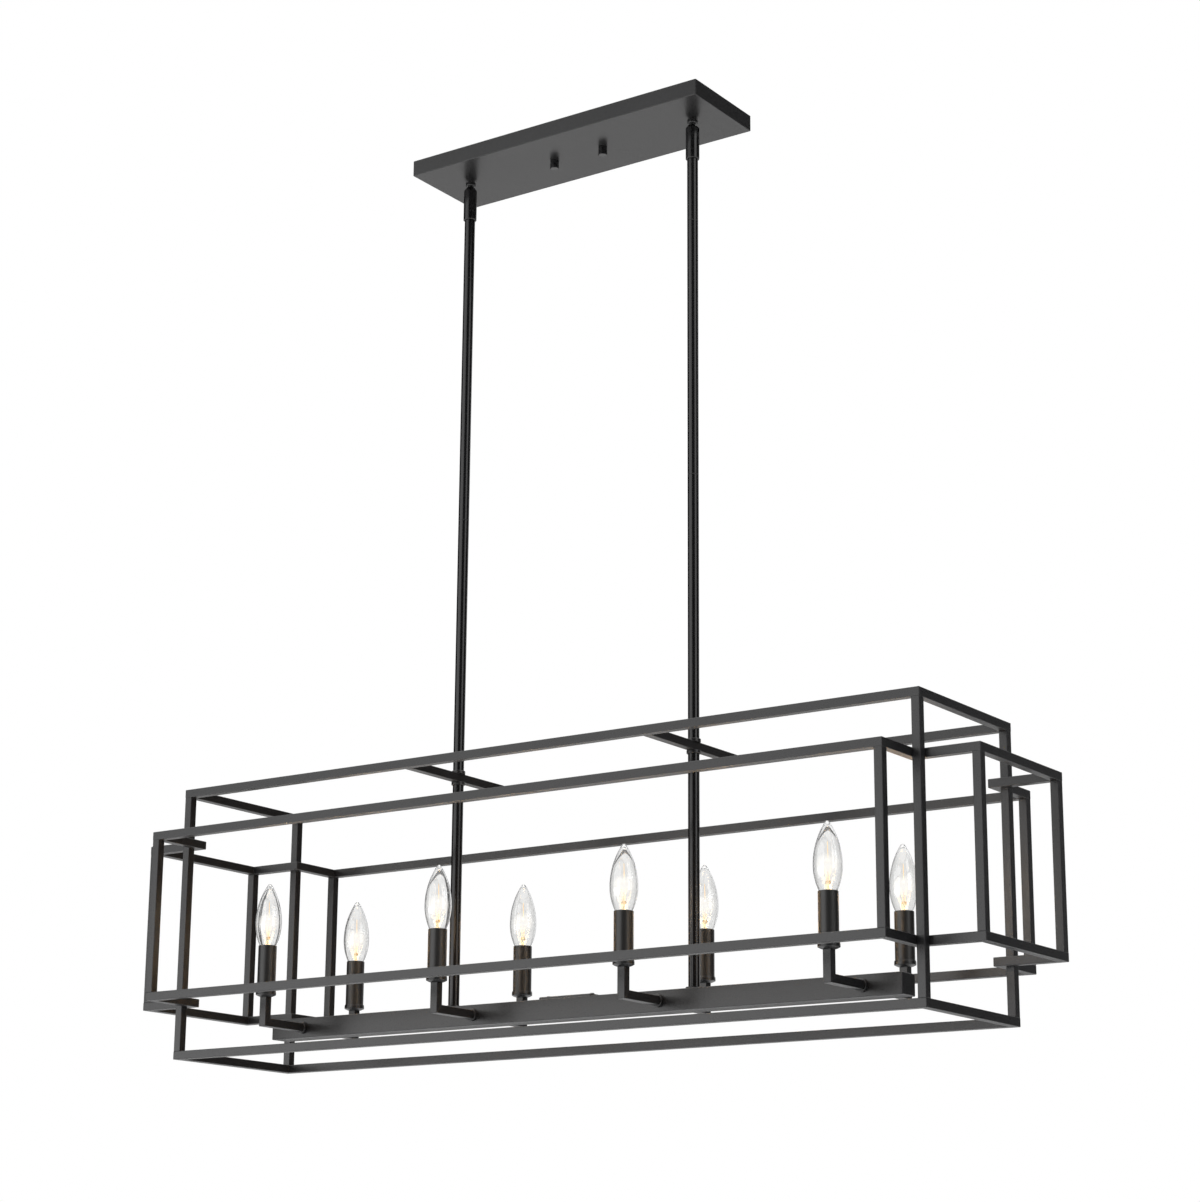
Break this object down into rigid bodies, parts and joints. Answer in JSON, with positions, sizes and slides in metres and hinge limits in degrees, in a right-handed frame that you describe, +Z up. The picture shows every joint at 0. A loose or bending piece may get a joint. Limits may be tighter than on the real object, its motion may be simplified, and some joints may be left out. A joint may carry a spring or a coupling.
{
  "type": "linear island pendant",
  "caption": "Linear island pendant: open lantern frame of black square tube, hung on rods from a rectangular canopy, with candle lamps on mitred arms off a wiring channel.",
  "frame": {"origin": "centre of the face that lies against the ceiling", "axes": "+X along the fixture, -Y its front as pictured, +Z up into the ceiling"},
  "size_m": [1.105, 0.324, 1.0699],
  "materials": {
    "black_steel": "satin black powder coat",
    "black_sleeve": "satin black",
    "zinc_steel": "zinc plated",
    "green_steel": "green plated",
    "black_phenolic": "moulded phenolic",
    "brass": "plain",
    "clear_glass": "clear",
    "stem_glass": "clear",
    "filament": "bare wire, lit"
  },
  "bodies": {
    "canopy": {"canopy_pan": "black_steel", "mounting_strap": "zinc_steel", "canopy_studs": "zinc_steel", "stud_lock_nuts": "zinc_steel", "canopy_cap_nuts": "black_steel", "ground_screw": "green_steel", "swivel_stem_left": "black_steel", "swivel_stem_right": "black_steel", "stem_lock_nuts": "zinc_steel", "stem_lock_washers": "zinc_steel"},
    "fixture": {"arm_back_1": "black_steel", "arm_back_2": "black_steel", "arm_back_3": "black_steel", "arm_back_4": "black_steel", "arm_collars": "black_steel", "arm_front_1": "black_steel", "arm_front_2": "black_steel", "arm_front_3": "black_steel", "arm_front_4": "black_steel", "arm_lock_nuts": "zinc_steel", "box_bottom_frame": "black_steel", "box_posts": "black_steel", "box_top_frame": "black_steel", "bulb_bases": "brass", "bulb_filaments": "filament", "bulb_glass": "clear_glass", "bulb_stems": "stem_glass", "candle_sleeves": "black_sleeve", "channel_end_caps": "black_steel", "channel_lock_nuts": "zinc_steel", "channel_nipples": "zinc_steel", "crossbar_collars": "black_steel", "crossbar_left": "black_steel", "crossbar_right": "black_steel", "drop_tube_heads": "zinc_steel", "drop_tube_left": "black_steel", "drop_tube_right": "black_steel", "drop_tube_washers": "black_steel", "end_posts": "black_steel", "lamp_cups": "black_steel", "lamp_sockets": "black_phenolic", "lower_loop": "black_steel", "lower_rod_left": "black_steel", "lower_rod_right": "black_steel", "rod_feet": "zinc_steel", "rod_nipples": "zinc_steel", "short_rod_left": "black_steel", "short_rod_right": "black_steel", "side_posts": "black_steel", "socket_stems": "zinc_steel", "splice_cover": "black_steel", "splice_cover_screws": "black_steel", "swivel_body_left": "black_steel", "swivel_body_right": "black_steel", "swivel_couplings": "black_steel", "upper_loop": "black_steel", "upper_rod_left": "black_steel", "upper_rod_right": "black_steel", "wiring_channel": "black_steel"}
  },
  "joints": [
    {"name": "fixture_swing", "type": "hinge", "parent": "canopy", "child": "fixture", "pos_m": [0, 0, -0.0298], "axis": [1, 0, 0], "range_deg": [-10, 10]}
  ]
}
